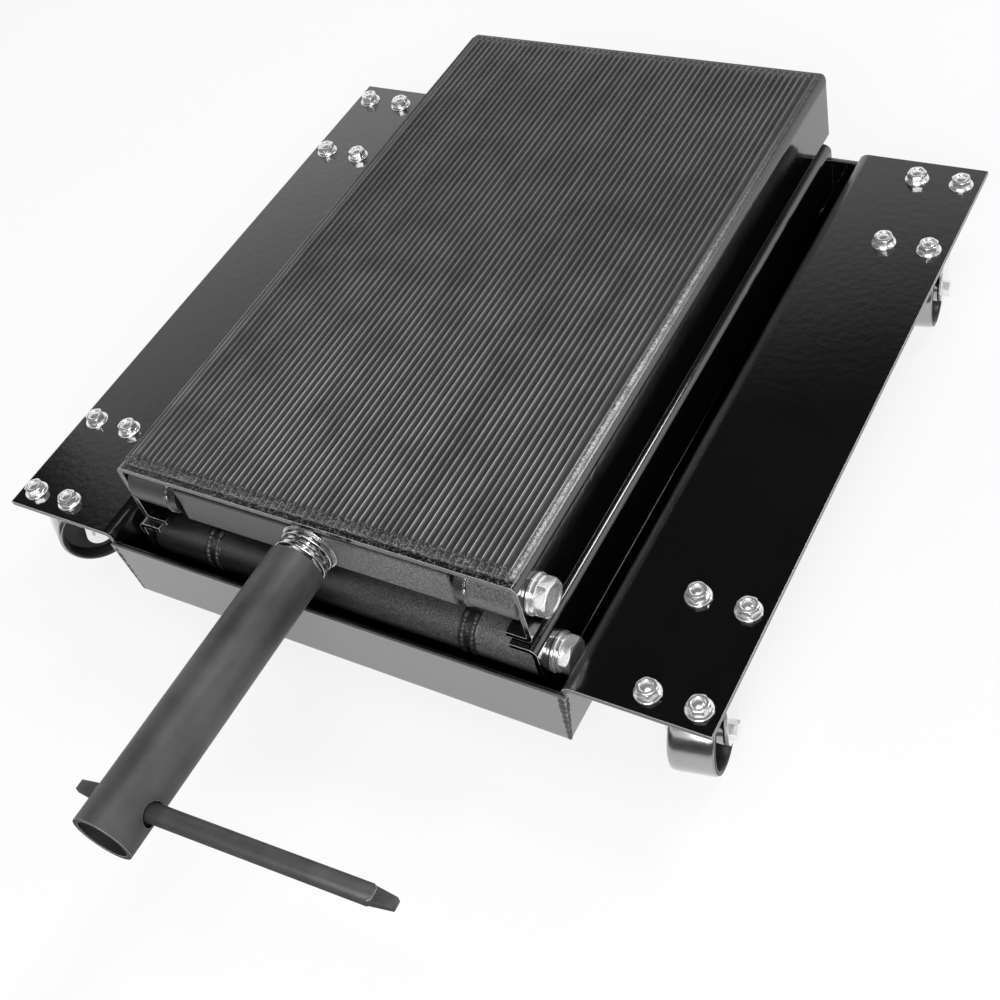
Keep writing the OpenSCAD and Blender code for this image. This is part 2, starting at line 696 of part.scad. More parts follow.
// Journal for a roller with a groove for its clip, outside a shaft of radius r that ends at x0
module journal_ends(z, x0) both_sides() difference() {
  rod_x(x0, journal_end, track_y, z, journal_r);
  tube_x(roller_out + clip_gap, roller_out + clip_gap + clip_t, track_y, z, journal_r + 1, journal_r - clip_groove);
}
module track_axle() color(ZINC) {
  rod_x(-outer_arm_in, outer_arm_in, track_y, low_z, shaft_r);
  journal_ends(low_z, outer_arm_in - eps);
}
module roller_clips(z) both_sides()
  heading_x(roller_out + clip_gap, track_y, z) lock_washer(clip_t, clip_r, journal_r - clip_groove);
module lower_roller_clips() color(POLISHED) roller_clips(low_z);
module upper_roller_clips() color(POLISHED) roller_clips(high_z);

// Track roller with a chamfered tread
module roller(side, z) color(ZINC) on_side(side) translate([roller_in, track_y, z]) rotate([0, 90, 0])
  difference() {
    union() {
      cylinder(h = 1, r1 = eye_r - 1, r2 = eye_r);
      translate([0, 0, 1]) cylinder(h = roller_w - 2, r = eye_r);
      translate([0, 0, roller_w - 1]) cylinder(h = 1, r1 = eye_r, r2 = eye_r - 1);
    }
    translate([0, 0, -1]) cylinder(h = roller_w + 2, r = journal_r + run_fit);
  }

// Platform

module platform() color(BLACK_PAINT) difference() {
  along_y(front_y, back_y) {
    x1 = deck_half - platform_t / 2;
    z0 = deck_lip_z + platform_t / 2;
    z1 = deck_z - platform_t / 2;
    bent_strip([[platform_lip - deck_half, z0], [-x1, z0], [-x1, z1], [x1, z1], [x1, z0], [deck_half - platform_lip, z0]],
               platform_t, platform_bend);
  }
  rod_x(-deck_half - 1, deck_half + 1, pivot_y, high_z, pivot_bolt_r + hole_gap);
  // Back corners rounded off, through the whole channel
  both_sides() translate([deck_half - platform_corner, back_y - platform_corner, deck_lip_z - 1])
    linear_extrude(deck_z - deck_lip_z + 2) difference() {
      square(platform_corner + 1);
      circle(platform_corner);
    }
}

module platform_mat() color(RUBBER) {
  x1 = deck_half - mat_inset;
  y0 = front_y + mat_inset;
  y1 = back_y - mat_inset;
  ribs = floor((x1 - mat_border - rib_foot / 2) / rib_pitch);
  translate([0, 0, deck_z]) linear_extrude(mat_t) round_rect([-x1, y0], [x1, y1], platform_corner - 1);
  along_y(y0 + mat_border, y1 - mat_border) for (i = [-ribs:ribs]) translate([i * rib_pitch, deck_z + mat_t])
    polygon([[-rib_foot / 2, -eps], [rib_foot / 2, -eps], [rib_top / 2, rib_h], [-rib_top / 2, rib_h]]);
}

// Flat bar across the upper front, with an ear and a stub shaft on each end
beam_edge_r = 1;
ear_corner_r = 4;
module screw_beam() color(SATIN_BLACK) {
  end_x = inner_arm_out + side_gap;
  z0 = high_z - beam_h / 2;
  z1 = high_z + beam_h / 2;
  difference() {
    union() {
      along_x(-end_x, end_x)
        round_rect([beam_face_y, z0], [beam_face_y + beam_t, z1], beam_edge_r);
      both_sides() along_x(end_x - ear_t, end_x)
        round_rect([beam_face_y + beam_edge_r, z0 + 1], [beam_face_y + ear_depth, z1 - 1], ear_corner_r);
      both_sides() rod_x(end_x - ear_t, deck_inner_half, pivot_y, high_z, shaft_r);
    }
    rod_y(beam_face_y - 1, beam_face_y + beam_t + 1, 0, high_z, screw_r + run_fit);
  }
}
module upper_pivot_bolts() color(ZINC) pivot_bolt_pair(deck_half, high_z);
module upper_pivot_washers() color(ZINC) pivot_washer_pair(deck_half, high_z);
module upper_lock_washers() color(ZINC) lock_washer_pair(deck_half, high_z);

// Screw, bearing and nut

module along_screw(y) translate([0, y, high_z]) rotate([90, 0, 0]) children();
// Two plain washers of slightly different sizes
module thrust_washers() color(POLISHED) for (k = [0, 1])
  along_screw(beam_face_y - k * (thrust_washer_t + stack_gap))
    ring(thrust_washer_t, bearing_r + (2 - k) * thrust_washer_step, screw_r + hole_gap);
ball_ring = (bearing_r + screw_r) / 2;
race_edge_r = 0.6;
// Race with rounded rims and a groove for the balls on the face that looks forward
module race(y, groove_side, bore) color(POLISHED) along_screw(y) difference() {
  rotate_extrude() difference() {
    round_rect([-bearing_r, 0], [bearing_r, race_t], race_edge_r);
    translate([-bearing_r - 1, -1]) square([bearing_r + 1 + bore, race_t + 2]);
    translate([ball_ring, groove_side > 0 ? race_t + ball_gap / 2 : -ball_gap / 2]) circle(ball_r + run_fit);
  }
}
module bearing_race_rear() race(race_rear_y, 1, screw_r + hole_gap);
module bearing_race_front() race(race_front_y, -1, screw_r);
module bearing_cage() color(POLISHED) along_screw(race_rear_y - race_t) {
  balls = 12;
  cage_t = 1.6;
  pocket_gap = 0.2;
  difference() {
    translate([0, 0, (ball_gap - cage_t) / 2]) ring(cage_t, bearing_r - race_edge_r, screw_r + hole_gap);
    for (k = [1:balls]) rotate([0, 0, k * 360 / balls]) translate([ball_ring, 0, ball_gap / 2]) sphere(ball_r + pocket_gap);
  }
  for (k = [1:balls]) rotate([0, 0, k * 360 / balls]) translate([ball_ring, 0, ball_gap / 2]) sphere(ball_r);
}
// Threaded shaft with a shoulder and hexagon in front of the bearing
module lead_screw() color(POLISHED) {
  lead = 2;
  rod_y(screw_shoulder_y - eps, screw_end_y - lead, 0, high_z, screw_r);
  translate([0, screw_end_y, high_z]) rotate([90, 0, 0]) cylinder(h = lead + eps, r1 = screw_r - lead, r2 = screw_r);
  along_screw(screw_shoulder_y) chamfered_hexagon(screw_af, screw_hex_len);
}
module screw_stop() color(ZINC) along_screw(screw_end_y - stop_inset) difference() {
  chamfered_hexagon(stop_af, stop_len);
  translate([0, 0, -1]) cylinder(h = stop_len + 2, r = screw_r);
}
// Nut block on a cross shaft: the inner arms turn on the thick part, the rollers on the ends
module screw_nut() color(SATIN_BLACK) {
  block_gap = 1.2;
  block_corner_r = 4;
  half_h = pivot_inset - block_gap;
  difference() {
    union() {
      along_x(-nut_half_w, nut_half_w)
        round_rect([track_y - nut_len / 2, high_z - half_h], [track_y + nut_len / 2, high_z + half_h],
                   block_corner_r);
      rod_x(-outer_arm_out, outer_arm_out, track_y, high_z, shaft_r);
      journal_ends(high_z, outer_arm_out - eps);
    }
    rod_y(track_y - nut_len, track_y + nut_len, 0, high_z, screw_r + run_fit);
  }
}

// Wrench and tommy bar

// Turns what is drawn along X at the wrench's middle to the bar's place
module at_bar() translate([0, bar_y, high_z]) rotate([0, 0, bar_yaw]) children();
module wrench_tube() color(OXIDE) difference() {
  rod_y(wrench_front_y, wrench_back_y, 0, high_z, wrench_r);
  rod_y(wrench_front_y - 1, wrench_back_y + 1, 0, high_z, wrench_r - wrench_wall);
  rod_x(-wrench_r - 1, wrench_r + 1, bar_y, high_z, bar_hole_r);
}
socket_inset = 0.5;
module wrench_socket() color(OXIDE) along_screw(wrench_back_y - socket_inset) difference() {
  cylinder(h = socket_len, r = wrench_r - wrench_wall);
  translate([0, 0, -1]) hexagon(screw_af + 2 * socket_gap, socket_len + 2);
}
// Round bar with a flattened tang on each end, cut to a wedge at the tip
module tommy_bar() color(OXIDE) at_bar() {
  right = bar_len - bar_left;
  neck_len = 2.4;
  neck_drop = 1.4;
  wedge_len = 2.5;
  wedge_t = 1.5;
  rod_x(tang_len - bar_left, right - tang_len, 0, 0, bar_r);
  for (x = [-bar_left, right - tang_len]) {
    tip = x < 0 ? 1 : -1;
    translate([x + (tip < 0 ? 0 : tang_len), 0, 0]) rotate([0, 0, tip < 0 ? 0 : 180]) {
      rotate([0, 90, 0]) translate([0, 0, -eps]) intersection() {
        cylinder(h = neck_len, r1 = bar_r, r2 = bar_r - neck_drop);
        cylinder(h = neck_len, r = bar_r);
      }
      translate([0, tang_w / 2, 0]) rotate([90, 0, 0]) linear_extrude(tang_w)
        polygon([[-eps, -tang_t / 2], [tang_len - wedge_len, -tang_t / 2], [tang_len, tang_t / 2 - wedge_t],
                 [tang_len, tang_t / 2], [-eps, tang_t / 2]]);
    }
  }
}

dolly_pan();
base_channel();
base_spacers();
base_bolts();
base_nuts();
caster_bolts();
caster_nuts();
caster_kingpins();
lower_pivot_shaft();
lower_pivot_bolts();
lower_pivot_washers();
lower_lock_washers();
inner_arm_left();
inner_arm_right();
lower_cross_tube();
centre_bolts();
centre_washers();
centre_nuts();
outer_arm_left();
outer_arm_right();
upper_pivot_tubes();
track_axle();
lower_roller_clips();
platform();
platform_mat();
screw_beam();
upper_pivot_bolts();
upper_pivot_washers();
upper_lock_washers();
bearing_race_rear();
thrust_washers();
screw_nut();
upper_roller_clips();
lead_screw();
bearing_race_front();
bearing_cage();
screw_stop();
wrench_tube();
wrench_socket();
tommy_bar();
roller(-1, high_z);  // upper_roller_left
roller(1, high_z);  // upper_roller_right
roller(-1, low_z);  // lower_roller_left
roller(1, low_z);  // lower_roller_right
for (i = [0:3]) {
  caster_plate(i);
  caster_fork(i);
  caster_axle(i);
  caster_wheel(i);
}
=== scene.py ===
"""Looks of a scissor jack for motorcycles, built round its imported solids."""
import json
import math

import bpy
from mathutils import Matrix, Vector


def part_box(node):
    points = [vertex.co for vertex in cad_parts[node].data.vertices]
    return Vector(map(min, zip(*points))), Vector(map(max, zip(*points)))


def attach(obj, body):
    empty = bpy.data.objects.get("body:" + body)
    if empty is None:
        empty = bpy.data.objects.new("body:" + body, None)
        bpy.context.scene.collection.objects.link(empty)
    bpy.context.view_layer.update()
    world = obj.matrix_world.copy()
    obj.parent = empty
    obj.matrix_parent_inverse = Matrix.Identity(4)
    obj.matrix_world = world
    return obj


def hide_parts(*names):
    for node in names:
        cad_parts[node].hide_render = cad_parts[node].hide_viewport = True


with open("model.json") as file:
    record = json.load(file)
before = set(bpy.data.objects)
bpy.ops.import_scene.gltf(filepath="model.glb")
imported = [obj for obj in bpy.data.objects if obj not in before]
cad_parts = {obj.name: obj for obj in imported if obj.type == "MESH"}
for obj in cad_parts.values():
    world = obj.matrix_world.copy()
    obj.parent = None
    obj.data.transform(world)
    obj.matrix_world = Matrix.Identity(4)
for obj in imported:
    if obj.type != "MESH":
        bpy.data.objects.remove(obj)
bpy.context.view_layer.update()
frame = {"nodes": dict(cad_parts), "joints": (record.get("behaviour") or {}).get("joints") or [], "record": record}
MM = 0.001

# Places on the jack that the finishes follow, in metres
PAN_FRONT_Y, PAN_BACK_Y = -0.13, 0.287
WALL_SIDE_X, WALL_LEAN, WALL_TOP_Z = 0.1395, 0.111, 0.064
WING_EDGE_X, WING_FOLD_X = 0.2235, 0.1475
PLATFORM_TOP_Z = 0.118
MAT_SIDE_X, MAT_MIDDLE_Y, MAT_HALF = 0.1215, 0.0885, 0.1995
MAT_FRONT_Y = MAT_MIDDLE_Y - MAT_HALF
BORDER_Y = -0.1035  # where the mat's ribs end
LOW_LEVEL_Z, HIGH_LEVEL_Z = 0.07, 0.078  # between the lower and the upper tubes
LOWER_EYE_X, UPPER_EYE_X = 0.0832, 0.0905  # front eyes of the inner and the outer arms
SCREW_Z = 0.1
WRENCH_END_Y = -0.2915
WHEEL_CENTRE_Z = 0.024

# Ribs of the mat: pitch in metres, then the places of the painted highlight lines, and greys by place across one,
# from 0 to 1, that paint its light and shade: dark lines of painted shade and a lighter top
RIB_PITCH = 0.00396
RIB_CREST, RIB_HEEL = 0.37, 0.635
RIB_PAINTED_SHADING = [
    (0.0, 0.03), (0.3, 0.03), (0.32, 0.002), (0.345, 0.11), (0.65, 0.11),
    (0.665, 0.001), (0.7, 0.05), (0.82, 0.045), (0.85, 0.012), (1.0, 0.03)]


# Shader kit
class Wire:
    """A shader socket that takes part in sums."""

    def __init__(self, nodes, socket):
        self.nodes, self.socket = nodes, socket

    def math(self, operation, *values):
        sockets = dict(enumerate((self, *values)))
        return self.nodes.node("Math", operation=operation, sockets=sockets)

    def __add__(self, other): return self.math("ADD", other)
    def __radd__(self, other): return self.math("ADD", other)
    def __mul__(self, other): return self.math("MULTIPLY", other)
    def __rmul__(self, other): return self.math("MULTIPLY", other)
    def __sub__(self, other): return self.math("SUBTRACT", other)
    def __rsub__(self, other): return (self * -1.0).math("ADD", other)
    def __truediv__(self, other): return self.math("DIVIDE", other)
    def least(self, other): return self.math("MINIMUM", other)
    def most(self, other): return self.math("MAXIMUM", other)
    def size(self): return self.math("ABSOLUTE")

    def ramp(self, start, end, low=0.0, high=1.0):
        """Smooth step from low at start to high at end."""
        return self.nodes.node("MapRange", interpolation_type="SMOOTHSTEP", sockets={
            "Value": self, "From Min": start, "From Max": end, "To Min": low, "To Max": high})


class Nodes:
    """A node tree and the one way to add a node to it."""

    def __init__(self, tree):
        self.tree = tree

    def node(self, kind, take=0, stops=None, sockets=None, **settings):
        """Adds a node: its settings, its ramp's stops, then its sockets. take names its output."""
        made = self.tree.nodes.new("ShaderNode" + kind)
        for key, value in settings.items():
            setattr(made, key, value)
        if stops:
            ramp = made.color_ramp
            ramp.elements[-1].position = stops[-1][0]
            for place, _ in stops[1:-1]:
                ramp.elements.new(place)
            for element, (_, grey) in zip(ramp.elements, stops):
                element.color = (grey, grey, grey, 1.0)
        for key, value in (sockets or {}).items():
            self.plug(made.inputs[key], value)
        return Wire(self, made.outputs[take])

    def plug(self, socket, value):
        """Links or sets a socket. A single number in a colour socket is a grey."""
        if isinstance(value, Wire):
            self.tree.links.new(value.socket, socket)
        elif socket.type == "RGBA":
            colour = value if isinstance(value, tuple) else (value, value, value)
            socket.default_value = (*colour, 1.0)
        else:
            socket.default_value = value

    def parts(self, vector):
        """The X, Y and Z of a vector."""
        split = self.node("SeparateXYZ", sockets={"Vector": vector}).socket.node
        return [Wire(self, output) for output in split.outputs]

    def blend(self, share, low, high):
        """Colour between low and high."""
        return self.node("Mix", take=2, data_type="RGBA", sockets={0: share, 6: low, 7: high})

    def ray(self, kind):
        """1 for rays of one kind: Camera, Glossy or Transmission."""
        return self.node("LightPath", take="Is %s Ray" % kind)


class Finish(Nodes):
    """A material whose patterns follow the piece's own coordinates."""

    def __init__(self, name, **constants):
        self.material = bpy.data.materials.new(name)
        self.material.use_nodes = True
        super().__init__(self.material.node_tree)
        self.shader = self.tree.nodes["Principled BSDF"]
        self.set(**constants)

    def set(self, **values):
        for key, value in values.items():
            self.plug(self.shader.inputs[key.replace("_", " ")], value)

    def place(self):
        return self.node("TexCoord", take="Object")

    def stretched(self, x, y, z):
        return self.node("Mapping", sockets={"Vector": self.place(), "Scale": (x, y, z)})

    def noise(self, scale, detail=2.0, rough=0.5, where=None):
        return self.node("TexNoise", sockets={
            "Vector": where or self.place(), "Scale": scale, "Detail": detail, "Roughness": rough})

    def axes(self):
        """The place's parts along the piece's own axes."""
        return self.parts(self.place())

    def facing(self):
        """The true normal's parts along the piece's own axes."""
        return self.parts(self.node(
            "VectorTransform", vector_type="NORMAL", convert_from="WORLD", convert_to="OBJECT",
            sockets={"Vector": self.node("NewGeometry", take="True Normal")}))

    def rounded(self, radius):
        """Normal with the arrises rounded to a radius."""
        return self.node("Bevel", samples=6, sockets={"Radius": radius})

    def edge(self, radius):
        """How far the rounded normal turns from the flat one: 0 away from the arrises."""
        flat = self.node("NewGeometry", take="True Normal")
        return 1.0 - self.node("VectorMath", take="Value", operation="DOT_PRODUCT",
                               sockets={0: self.rounded(radius), 1: flat})

    def relief(self, height, depth, edge=0.0):
        """Bumps of depth metres by height, over arrises rounded to the radius edge."""
        sockets = {"Height": height, "Distance": depth, "Strength": 1.0}
        if edge:
            sockets["Normal"] = self.rounded(edge)
        self.set(Normal=self.node("Bump", sockets=sockets))


# Finishes
def gloss_coat():
    """Black gloss coat with a faint orange peel, worn at its arrises, with a painted highlight along the top
    arrises of the wings' rims and a painted soft highlight, rougher, in the right wing's fold.

    It is greyer outside the well, and duller on the bare rim round the mat, speckled in front.
    """
    f = Finish("black_powder_coat", IOR=2.1)
    x, y, z = f.axes()
    wide = x.size()
    peel = f.noise(210, 3.0)
    cloud = f.noise(24, 3.0)
    rub = f.noise(420, 3.0, 0.6)

    arris = f.edge(0.0005).ramp(0.03, 0.14)
    worn = arris * rub.ramp(0.3, 0.55, 0.3, 1.0) * z.ramp(0.076, 0.084, 0.3, 1.0)
    # Painted highlight: rim marks the top arrises of the wings' outer edges and of the pan's ends, where a bright
    # line is painted into the colour.
    wing_side = wide.ramp(WING_EDGE_X - 0.002, WING_EDGE_X - 0.001)
    front_end = (y - MAT_MIDDLE_Y).size().ramp(0.2, 0.204)
    rim = wing_side.most(front_end) * z.ramp(WALL_TOP_Z - 0.0005, WALL_TOP_Z + 0.0005)

    # Painted highlight: a soft pale band, streaked along Y, painted into the colour along the right wing's fold
    # into the well, where the coat is also rougher.
    fold = 1.0 - (x - WING_FOLD_X).size().ramp(0.0005, 0.0055)
    fold = fold * z.ramp(WALL_TOP_Z - 0.006, WALL_TOP_Z)
    fold_sheen_streaks = f.noise(60, 4.0, 0.6, where=f.stretched(1, 0.2, 1)).ramp(0.3, 0.7, 0.35, 1.0)
    painted_fold_sheen = fold * fold_sheen_streaks

    front_wall = y.ramp(PAN_FRONT_Y + 0.0015, PAN_FRONT_Y + 0.001)
    back_wall = y.ramp(PAN_BACK_Y - 0.0015, PAN_BACK_Y - 0.001)
    side_wall = (wide - z * WALL_LEAN).ramp(WALL_SIDE_X - 0.0007, WALL_SIDE_X)
    below_wings = z.ramp(WALL_TOP_Z - 0.0004, WALL_TOP_Z - 0.0012)
    outer = front_wall.most(back_wall).most(side_wall) * below_wings

    bare = z.ramp(PLATFORM_TOP_Z - 0.0015, PLATFORM_TOP_Z)
    front = y.ramp(MAT_FRONT_Y + 0.0015, MAT_FRONT_Y - 0.0002)
    speckle = f.noise(800, 4.0, 0.75).ramp(0.5, 0.62)

    coat = f.blend(cloud, (0.0016, 0.0016, 0.0018), (0.004, 0.004, 0.0044))
    # painted soft highlight along the right wing's fold
    coat = f.blend(painted_fold_sheen, coat, 0.032)
    coat = f.blend(bare * front * speckle * 0.7, coat, 0.2)
    coat = f.blend(outer, coat, 0.12)
    coat = f.blend(worn, coat, 0.12)
    # arris * rim is the painted highlight line on those arrises
    f.set(Base_Color=f.blend(arris * rim, coat, 0.85),
          Roughness=(0.07 + cloud * 0.05 + worn * 0.25 + painted_fold_sheen * 0.3 + outer * 0.12
                     + bare * (0.25 - front * 0.2)))
    f.relief(peel, 0.00004, edge=0.0006)
    return f.material


def satin_paint():
    """Satin black paint over blasted steel.

    It has a sand-like grit to the right, where its specks are painted lighter as painted light; along
    the lower cross tube it is smoother and carries painted shade; it is wet round the eyes of the arms.
    """
    f = Finish("satin_black", IOR=1.75)
    x, y, z = f.axes()
    grit = f.noise(1300, 2.0, 0.7)
    cloud = f.noise(40, 3.0)
    speck = f.noise(2100, 1.0, 0.5).ramp(0.45, 0.66)
    worn = f.edge(0.0005).ramp(0.03, 0.16) * f.noise(300, 3.0, 0.6).ramp(0.4, 0.65)

    # Painted light: towards the right the grit's specks are painted lighter, as if lit from the right; the paint
    # there is also rougher.
    sandy_and_lit = x.ramp(-0.03, 0.06) * z.ramp(LOW_LEVEL_Z, HIGH_LEVEL_Z, 0.6, 1.0)
    sandy_and_lit = sandy_and_lit.most(x.ramp(0.08, 0.087))
    # Painted shade: smooth marks the lower cross tube, most at its left and not past its right eye, which is
    # painted darker.
    smooth = z.ramp(HIGH_LEVEL_Z, LOW_LEVEL_Z) * (1.0 - sandy_and_lit)
    eye_x = z.ramp(0.074, 0.08, LOWER_EYE_X, UPPER_EYE_X)
    eye = (x.size() - eye_x).size().ramp(0.0056, 0.0048) * y.ramp(-0.1, -0.103)

    coat = f.blend(cloud, 0.02, 0.042)
    # painted shade along the lower cross tube
    coat = f.blend(smooth, coat, 0.003)
    # painted light: specks lighter to the right
    coat = f.blend(speck * (0.12 + sandy_and_lit * 0.6), coat, 0.3)
    coat = f.blend(eye * 0.85, coat, 0.006)
    f.set(Base_Color=f.blend(worn * 0.7, coat, 0.35),
          Roughness=0.22 + grit * 0.1 + cloud * 0.06 + sandy_and_lit * 0.1 - eye * 0.14)
    f.relief(grit + eye * f.noise(500, 2.0) * 2.0, 0.00018, edge=0.0006)
    return f.material


def rib_rubber():
    """Dull black rubber with painted light and shade across its ribs and painted highlight lines along them, and
    its right rim scuffed pale.
    """
    f = Finish("rib_rubber", IOR=1.5)
    x, y, _ = f.axes()
    grain = f.noise(1900, 2.0, 0.6)
    coarse = f.noise(800, 4.0, 0.75)
    scuff = f.noise(32, 5.0, 0.65)
    streak = f.noise(30, 4.0, 0.6, where=f.stretched(6, 0.35, 1))
    worn = (scuff * 0.5 + streak * 0.5).ramp(0.36, 0.62)

    across = x / RIB_PITCH + 0.5
    turn = across - across.math("FLOOR")
    # Painted light and shade across each rib: dark lines of painted shade and a lighter top.
    painted_rib_shading = f.node("ValToRGB", sockets={0: turn}, stops=RIB_PAINTED_SHADING)
    # Painted highlights: thin bright lines at each rib's crest and heel. The crest's line is painted brighter
    # towards the front and the right as a painted sheen, and it varies with the scuffs.
    crest = 1.0 - (turn - RIB_CREST).size().ramp(0.02, 0.06)
    heel_highlight = 1.0 - (turn - RIB_HEEL).size().ramp(0.01, 0.035)
    painted_sheen = y.ramp(0.16, -0.1, 0.12, 1.0) * x.ramp(-0.12, -0.03, 0.45, 1.0)

    rim = x.ramp(MAT_SIDE_X - 0.0021, MAT_SIDE_X - 0.0009)
    rim = rim * (0.3 + coarse.ramp(0.42, 0.58) * 0.7)
    flecks = x.ramp(MAT_SIDE_X - 0.005, MAT_SIDE_X - 0.0009) * coarse.ramp(0.48, 0.6)
    left_rim = x.ramp(0.0009 - MAT_SIDE_X, 0.0003 - MAT_SIDE_X)
    rim = rim.most(flecks * 0.6).most(left_rim * 0.3)
    rim = rim * y.ramp(0.24, 0.02, 0.15, 1.0) * f.noise(45, 3.0, 0.6).ramp(0.3, 0.52, 0.5, 1.0)
    ends = (y - MAT_MIDDLE_Y).size().ramp(MAT_HALF - 0.0008, MAT_HALF - 0.0002)
    ends = ends * coarse.ramp(0.46, 0.6)
    border = y.ramp(BORDER_Y, BORDER_Y - 0.002)
    grit = f.noise(1300, 3.0, 0.7).ramp(0.52, 0.66)

    base = painted_rib_shading * (0.75 + worn * 0.45) * (0.8 + grain * 0.4)
    # painted highlight lines and painted sheen
    base = base.most(crest * painted_sheen * (0.45 + worn * 0.45))
    base = base.most(heel_highlight * (0.1 + worn * 0.12) * (1.0 - border))
    base = base * (1.0 - border * 0.7) + border * (0.012 + grit * 0.28)
    base = base.most(rim * 0.75).most(ends * 0.3)
    f.set(Base_Color=base, Roughness=0.38 + grain * 0.2)
    f.relief(grain + coarse * 0.6 + scuff * 0.5, 0.00009, edge=0.0003)
    return f.material


def weld_coat():
    """Thick paint over weld ripples, glossy on the upper tubes."""
    f = Finish("weld_coat", IOR=1.7, Coat_IOR=2.4, Coat_Roughness=0.1)
    _, _, z = f.axes()
    lump = f.noise(500, 2.0)
    f.set(Base_Color=f.blend(lump, 0.003, 0.04), Roughness=0.36 + lump * 0.2,
          Coat_Weight=z.ramp(0.084, 0.09))
    f.relief(lump, 0.0005)
    return f.material


def zinc_plate():
    """Bright zinc plate with a faint grain."""
    f = Finish("zinc", Metallic=0.8)
    grain = f.noise(700, 3.0, 0.6)
    cloud = f.noise(120, 3.0)
    f.set(Base_Color=f.blend(cloud, (0.82, 0.82, 0.83), 0.94),
          Roughness=0.08 + cloud * 0.1 + grain * 0.08)
    f.relief(grain + f.noise(380, 2.0) * 2.0, 0.00005, edge=0.0002)
    return f.material


def polished_steel():
    """Ground and polished steel, a little cloudy."""
    f = Finish("polished_steel", Metallic=1.0)
    grain = f.noise(900, 2.0)
    f.set(Base_Color=f.blend(grain, (0.55, 0.55, 0.56), 0.78), Roughness=0.14 + grain * 0.08)
    f.relief(grain, 0.000003, edge=0.0003)
    return f.material


def oxide_steel():
    """Dark oxide over drawn tube, worn at its arrises, with a bright front end and a dull bore."""
    f = Finish("oxide_steel", Metallic=0.4)
    x, y, z = f.axes()
    aside, _, up = f.facing()
    grain = f.noise(1200, 3.0, 0.6)
    drawn = f.noise(60, 4.0, 0.6, where=f.stretched(1, 0.12, 1))
    blotch = f.noise(26, 4.0, 0.6)
    mottled = (blotch * 0.6 + drawn * 0.4).ramp(0.3, 0.7)
    bore = (x * aside + (z - SCREW_Z) * up).ramp(-0.004, -0.01)
    worn = f.edge(0.0005).ramp(0.03, 0.16) * grain.ramp(0.3, 0.5)
    front_end = y.ramp(WRENCH_END_Y + 0.0025, WRENCH_END_Y + 0.001)
    worn = (worn * (1.0 + front_end * 4.0)).least(1.0)

    steel = f.blend(mottled, (0.04, 0.04, 0.041), (0.105, 0.105, 0.107))
    steel = f.blend(bore, steel, 0.03)
    f.set(Base_Color=f.blend(worn, steel, 0.55),
          Roughness=0.34 + grain * 0.16 + drawn * 0.1 + bore * 0.2)
    f.relief(grain + drawn, 0.00005, edge=0.0004)
    return f.material


def wheel_black():
    """Black wheel with a tread polished like metal, and dull sides and dish."""
    f = Finish("wheel_black", IOR=1.4, Coat_IOR=2.3, Coat_Roughness=0.12)
    _, _, z = f.axes()
    aside, _, up = f.facing()
    grain = f.noise(1500, 2.0)
    scuffed = f.noise(90, 4.0, 0.6)
    worn = f.edge(0.0006).ramp(0.03, 0.2) * grain.ramp(0.4, 0.6)
    inward = (up * (z - WHEEL_CENTRE_Z)).ramp(-0.0002, -0.0012)
    dull = aside.size().ramp(0.55, 0.8).most(inward)
    tread = 1.0 - dull

    coat = f.blend(dull, f.blend(scuffed, 0.32, 0.24), f.blend(scuffed, 0.006, 0.02))
    f.set(Base_Color=f.blend(worn * 0.8, coat, 0.3), Coat_Weight=tread, Metallic=tread,
          Roughness=0.14 + scuffed.ramp(0.4, 0.7) * 0.1 + dull * 0.2)
    f.relief(grain, 0.00003, edge=0.0005)
    return f.material


FINISHES = {
    "black_powder_coat": gloss_coat(), "satin_black": satin_paint(), "rib_rubber": rib_rubber(),
    "zinc": zinc_plate(), "polished_steel": polished_steel(), "oxide_steel": oxide_steel(),
    "wheel_black": wheel_black(), "weld_coat": weld_coat(),
}
for part in frame["record"]["subparts"]:
    slots = frame["nodes"][part["node"]].data.materials
    slots.clear()
    slots.append(FINISHES[part["material_slot"]])


# Modelling kit, in millimetres
MERGE = 0.01
WELD_VOXEL = 0.35


def clear():
    bpy.ops.object.select_all(action="DESELECT")


def only(obj):
    """Selects obj alone and makes it the active object."""
    clear()
    obj.select_set(True)
    bpy.context.view_layer.objects.active = obj


def named(name):
    """Names the object that an operator has just made."""
    obj = bpy.context.object
    obj.name = obj.data.name = name
    return obj


def settle(obj):
    """Puts an object at the origin with its place in its mesh."""
    only(obj)
    bpy.ops.object.transform_apply(location=True, rotation=True, scale=True)
    return obj


def finish_with(obj, kind, **settings):
    """Adds a modifier and applies it."""
    only(obj)
    modifier = obj.modifiers.new(kind.lower(), kind)
    for key, value in settings.items():
        setattr(modifier, key, value)
    bpy.ops.object.modifier_apply(modifier=modifier.name)


def cut(obj, operation, tool):
    """Cuts an object with a tool by a boolean, and takes the tool away."""
    finish_with(obj, "BOOLEAN", operation=operation, solver="EXACT", object=tool)
    bpy.data.objects.remove(tool)
    return obj


